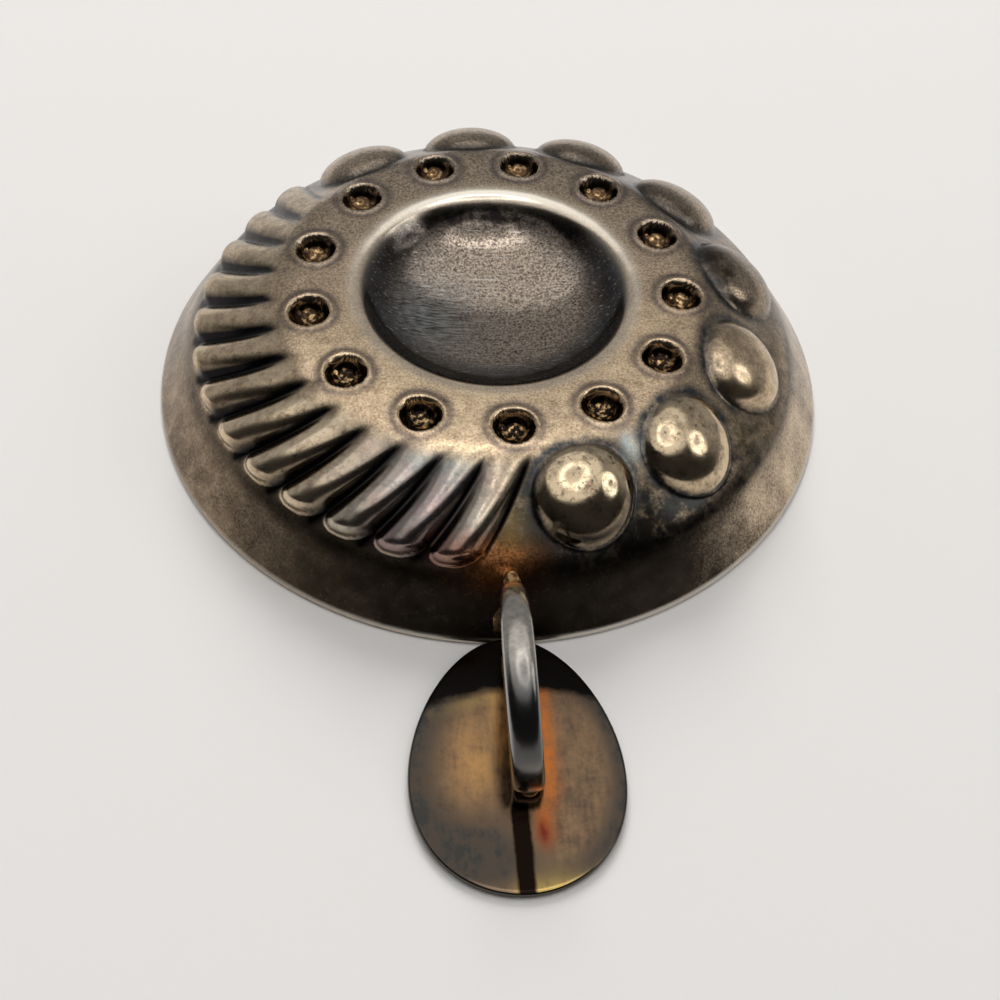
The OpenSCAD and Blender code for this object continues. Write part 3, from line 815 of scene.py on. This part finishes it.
# %% [markdown]
# ### Rubbed silver plate
# The loop takes the most handling, so its plate is thin and grey. It is painted lightest along both
# edges, as a sheen where the rounded edges mirror the pale room. It stays smooth enough to mirror the
# room.

# %% Make the strip's finish
STRIP_GRAIN = 0.8
tree = new_material("rubbed_silver_plate", strip)
place = add(tree, "TexCoord").outputs["Object"]
mark = {key: add(tree, "Attribute", attribute_name=key).outputs["Fac"] for key in strip_marks}
grain = add(tree, "TexNoise", {
    "Vector": place, "Scale": 1 / (STRIP_GRAIN * MM), "Detail": 4, "Roughness": 0.6}).outputs["Fac"]
face = add(tree, "Mix", {0: grain, 6: linear("#77787a"), 7: linear("#d2c9ba")},
           data_type="RGBA").outputs[2]
# painted shade on the bend, a painted sheen on both edges, and heat colour near the joint
for key, layer in (("shade", "#5c5b5a"), ("rubbed_and_edge_sheen", "#bdbbb8"), ("joint", "#9a7a70")):
    face = add(tree, "Mix", {0: mark[key], 6: face, 7: linear(layer)}, data_type="RGBA").outputs[2]
rough = add(tree, "MapRange", {"Value": grain, "To Min": 0.14, "To Max": 0.28}).outputs[0]
bump = add(tree, "Bump", {"Height": grain, "Strength": 0.1, "Distance": 0.1 * MM}).outputs[0]
surface = add(tree, "BsdfPrincipled", {
    "Base Color": face, "Metallic": 1.0, "Roughness": rough, "Normal": bump})
add(tree, "OutputMaterial", {"Surface": surface.outputs[0]})
print("strip finish:", len(tree.nodes), "nodes")

# %% [markdown]
# ### Heat-stained plate
# The plate took the soldering flame, so thin oxide films colour it: copper and gold in the middle,
# red close to the strip, straw at the tip and slate grey along the edge. It was polished lengthwise,
# which leaves faint streaks. Each stain is a mark on the mesh, broken up by a noise, and so are two
# painted reflections, of the bowl's dark wall and of the loop.

# %% Make the thumb plate's finish
tree = new_material("heat_stained_plate", plate)
place = add(tree, "TexCoord").outputs["Object"]
mark = {key: add(tree, "Attribute", attribute_name=key).outputs["Fac"] for key in plate_marks}
along = add(tree, "Mapping", {"Vector": place, "Scale": (1, 0.2, 1)}).outputs[0]
noise = {}
for key, vector, size, detail, roughness in (
        ("streak", along, 0.7, 3, 0.5), ("patch", place, 2.2, 6, 0.75), ("fine", place, 0.4, 4, 0.7)):
    noise[key] = add(tree, "TexNoise", {
        "Vector": vector, "Scale": 1 / (size * MM),
        "Detail": detail, "Roughness": roughness}).outputs["Fac"]
broken = noise["patch"]
for key, weight, none, full in (("streak", 0.5, 0.5, 1.0), ("fine", 0.6, 0.35, 1.2)):
    broken = add(tree, "Math", {0: noise[key], 1: weight, 2: broken},
                 operation="MULTIPLY_ADD").outputs[0]
    broken = add(tree, "MapRange", {"Value": broken, "From Min": none, "From Max": full}).outputs[0]
film = add(tree, "Mix", {0: broken, 6: linear("#5a4b3f"), 7: linear("#8c7156")},
           data_type="RGBA").outputs[2]
frayed = add(tree, "MapRange", {"Value": broken, "To Min": 0.45, "To Max": 1.2}).outputs[0]
for key, layer in (("gold", "#b58a59"), ("copper", "#bc6c30"), ("red", "#7a2f1c"),
                   ("straw", "#b59a5a"), ("slate", "#42413e")):
    amount = add(tree, "Math", {0: frayed, 1: mark[key]}, operation="MULTIPLY").outputs[0]
    film = add(tree, "Mix", {0: amount, 6: film, 7: linear(layer)}, data_type="RGBA").outputs[2]
# painted reflections of the bowl's dark wall and of the loop, with ragged edges
for key, layer in (("black", "#181513"), ("stripe", "#1a120d")):
    ragged = add(tree, "Math", {0: mark[key], 1: noise["patch"]}, operation="ADD").outputs[0]
    ragged = add(tree, "MapRange", {"Value": ragged, "From Min": 0.72, "From Max": 1.25}).outputs[0]
    film = add(tree, "Mix", {0: ragged, 6: film, 7: linear(layer)}, data_type="RGBA").outputs[2]
film = add(tree, "Mix", {0: mark["bare"], 6: film, 7: linear("#57534d")}, data_type="RGBA").outputs[2]
rough = add(tree, "MapRange", {"Value": broken, "To Min": 0.1, "To Max": 0.2}).outputs[0]
bump = add(tree, "Bump", {"Height": noise["streak"], "Strength": 0.08, "Distance": 0.05 * MM}).outputs[0]
surface = add(tree, "BsdfPrincipled", {
    "Base Color": film, "Metallic": 1.0, "Roughness": rough, "Normal": bump})
add(tree, "OutputMaterial", {"Surface": surface.outputs[0]})
print("plate finish:", len(tree.nodes), "nodes")

# %% [markdown]
# ### Hard solder
# Solder is a yellow alloy of silver, copper and zinc. It freezes in small grains with dark flux
# between them, so a noise of that size gives the colour and the lumps.

# %% Make the solder's finish
SOLDER_GRAIN = 0.6
for piece, yellow in ((wall_seam, "#c09a68"), (plate_seam, "#a87c4a")):
    tree = new_material("hard_solder_" + piece.name, piece)
    place = add(tree, "TexCoord").outputs["Object"]
    lump = add(tree, "TexNoise", {
        "Vector": place, "Scale": 1 / (SOLDER_GRAIN * MM), "Detail": 3}).outputs["Fac"]
    colour = add(tree, "Mix", {0: lump, 6: linear("#3d3023"), 7: linear(yellow)},
                 data_type="RGBA").outputs[2]
    bump = add(tree, "Bump", {"Height": lump, "Strength": 0.5, "Distance": 0.2 * MM}).outputs[0]
    surface = add(tree, "BsdfPrincipled", {
        "Base Color": colour, "Metallic": 1.0, "Roughness": 0.3, "Normal": bump})
    add(tree, "OutputMaterial", {"Surface": surface.outputs[0]})
    print(piece.name, "finish:", len(tree.nodes), "nodes")

# %% [markdown]
# ## The table
# The cup lies on a plain pale table. It is one large flat square with its top at the rim's height,
# so wide that its edges are out of sight.

# %% Make the floor
FLOOR_HALF = 12.0
floor_corners = [(FLOOR_HALF * x, FLOOR_HALF * y, 0) for x, y in ((-1, -1), (1, -1), (1, 1), (-1, 1))]
floor_mesh = bpy.data.meshes.new("floor")
floor_mesh.from_pydata(floor_corners, [], [(0, 1, 2, 3)])
floor = bpy.data.objects.new("floor", floor_mesh)
bpy.context.scene.collection.objects.link(floor)
tree = new_material("pale_table", floor)
surface = add(tree, "BsdfPrincipled", {"Base Color": linear("#dedbd8"), "Roughness": 0.6})
add(tree, "OutputMaterial", {"Surface": surface.outputs[0]})
print("floor:", 2 * FLOOR_HALF, "m square")

# %% [markdown]
# ## The room
# Metal shows what is around it, so the room matters: a dark wall on the handle's side and a paler one
# beyond, a bright ceiling, a ring-shaped lamp nearly overhead and a second one to the right. They are
# painted on the sky by direction, which keeps them far away and costs no geometry.

# %% Light the room
NEAR_WALL, FAR_WALL = (0.03, 0.03, 0.03, 1), (0.35, 0.35, 0.35, 1)
CEILING, LAMP = (0.92, 0.92, 0.92, 1), (2.4, 2.4, 2.38, 1)
world = bpy.data.worlds.new("room")
bpy.context.scene.world = world
world.use_nodes = True
tree = world.node_tree
tree.nodes.clear()
look = add(tree, "TexCoord").outputs["Generated"]
towards = add(tree, "SeparateXYZ", {0: look}).outputs
ceiling = add(tree, "MapRange", {"Value": towards["Z"], "From Min": 0.72, "From Max": 0.765},
              interpolation_type="SMOOTHSTEP")
beyond = add(tree, "MapRange", {"Value": towards["Y"], "From Min": -0.25, "From Max": 0.3},
             interpolation_type="SMOOTHSTEP")
walls = add(tree, "Mix", {0: beyond.outputs[0], 6: NEAR_WALL, 7: FAR_WALL}, data_type="RGBA")
room = add(tree, "Mix", {0: ceiling.outputs[0], 6: walls.outputs[2], 7: CEILING}, data_type="RGBA")


def lamp_ring(axis, outer, inner, soft):
    """A bright ring round a direction: 1 between two angles from it, in degrees, with soft edges."""
    axis = np.array(axis) / np.linalg.norm(axis)
    near = add(tree, "VectorMath", {0: look, 1: tuple(axis)}, operation="DOT_PRODUCT").outputs["Value"]
    c = np.cos(np.radians([outer + soft, outer - soft, inner + soft, inner - soft]))
    within = add(tree, "MapRange", {"Value": near, "From Min": c[0], "From Max": c[1]}).outputs[0]
    solid = add(tree, "MapRange", {
        "Value": near, "From Min": c[2], "From Max": c[3], "To Min": 1, "To Max": 0}).outputs[0]
    return add(tree, "Math", {0: within, 1: solid}, operation="MULTIPLY").outputs[0]


overhead = lamp_ring((0.10, -0.15, 0.98), 20, 12, 1)
right_lamp = lamp_ring((0.81, -0.12, 0.58), 12, 4, 1)
both = add(tree, "Math", {0: overhead, 1: right_lamp}, operation="MAXIMUM").outputs[0]
lit = add(tree, "Mix", {0: both, 6: room.outputs[2], 7: LAMP}, data_type="RGBA")
sky = add(tree, "Background", {"Color": lit.outputs[2], "Strength": 1.0})
add(tree, "OutputWorld", {"Surface": sky.outputs[0]})
print("room:", len(tree.nodes), "nodes")

# %% [markdown]
# ## Back light
# A wide soft lamp behind the cup throws the gentle shadow that lies in front of it. A real one would
# be a window blind. It is kept out of mirror reflections, where its square outline would show.

# %% Hang the back light
BLIND_BACK, BLIND_UP, BLIND_SIZE, BLIND_POWER = 1.02, 0.78, 0.6, 12.5
blind_data = bpy.data.lights.new("blind", "AREA")
blind_data.size, blind_data.energy = BLIND_SIZE, BLIND_POWER
blind = bpy.data.objects.new("blind", blind_data)
bpy.context.scene.collection.objects.link(blind)
blind.location = (0, BLIND_BACK, BLIND_UP)
blind.rotation_euler = (-np.arctan2(BLIND_BACK, BLIND_UP), 0, 0)
blind.visible_glossy = False
print("back light:", BLIND_POWER, "W over", BLIND_SIZE, "m")

# %% [markdown]
# ## Camera
# The camera stands on the handle's side, half way up, and is turned a little to the left of the
# handle and tipped a few degrees, as a hand holds it.

# %% Place the camera
AZIMUTH, ELEVATION, ROLL = np.radians([-6.54, 49.73, 3.72])
DISTANCE, SIDE, RISE = 274.82, 1.43, -15.31
LENS, SENSOR = 75.6, 36
level_back = np.array([np.sin(AZIMUTH), -np.cos(AZIMUTH), 0])
back = np.cos(ELEVATION) * level_back + np.sin(ELEVATION) * np.array([0, 0, 1])
right = np.array([np.cos(AZIMUTH), np.sin(AZIMUTH), 0])
above = np.cross(back, right)
right, above = (np.cos(ROLL) * right + np.sin(ROLL) * above,
                np.cos(ROLL) * above - np.sin(ROLL) * right)
stand = (DISTANCE * back + SIDE * right + RISE * above) * MM
camera_data = bpy.data.cameras.new("camera")
camera_data.lens, camera_data.sensor_width = LENS, SENSOR
camera = bpy.data.objects.new("camera", camera_data)
bpy.context.scene.collection.objects.link(camera)
axes = np.column_stack([right, above, back, stand])
camera.matrix_world = Matrix([*axes.tolist(), [0, 0, 0, 1]])
bpy.context.scene.camera = camera
bpy.context.scene.view_settings.view_transform = "Standard"
print("camera at", np.round(stand, 3))

# %% [markdown]
# ## Finish
# The softened pieces should still fill the CAD model's box. Last, the scene is brought up to date.

# %% Finish
bpy.context.view_layer.update()
